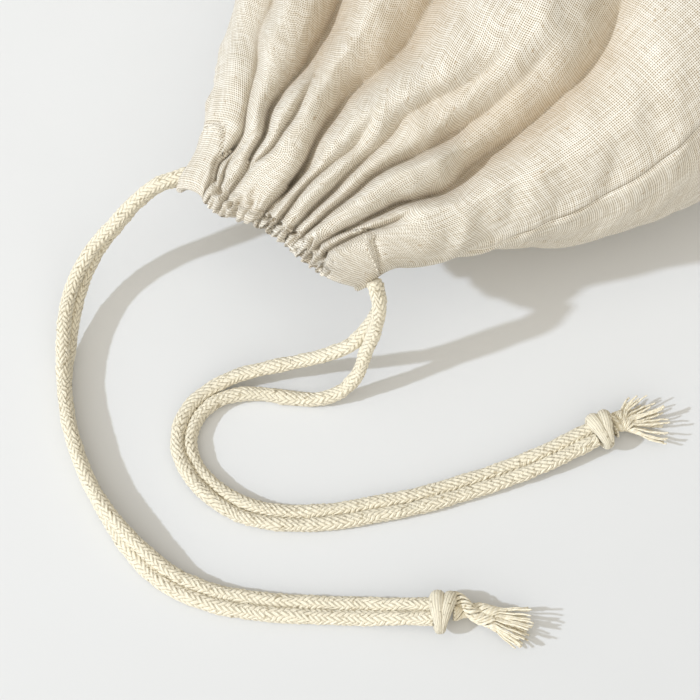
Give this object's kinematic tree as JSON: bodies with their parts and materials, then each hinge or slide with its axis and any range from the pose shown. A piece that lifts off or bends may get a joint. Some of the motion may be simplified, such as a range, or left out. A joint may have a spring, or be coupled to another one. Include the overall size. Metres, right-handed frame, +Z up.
{
  "type": "linen drawstring bread bag",
  "caption": "Puffed linen bread bag lying on its side, its mouth drawn shut by braided cotton cords with knotted, frayed ends.",
  "frame": {"origin": "on the surface the bag lies on, under the middle of the bag's own box", "axes": "+Z up; the bag's length along Y with the mouth at -Y; +X to the right seen from the mouth"},
  "size_m": [0.2828, 0.4665, 0.1152],
  "materials": {
    "linen": "matte natural plain weave with slubs",
    "cotton_braid": "matte braided cotton",
    "cotton_yarn": "matte loose cotton yarn"
  },
  "bodies": {
    "root": {"bag_cloth": "linen", "cord_left_upper": "cotton_braid", "cord_left_lower": "cotton_braid", "cord_right_front": "cotton_braid", "cord_right_back": "cotton_braid", "knot_left": "cotton_braid", "knot_right": "cotton_braid", "tassel_left": "cotton_yarn", "tassel_right": "cotton_yarn"}
  },
  "joints": []
}
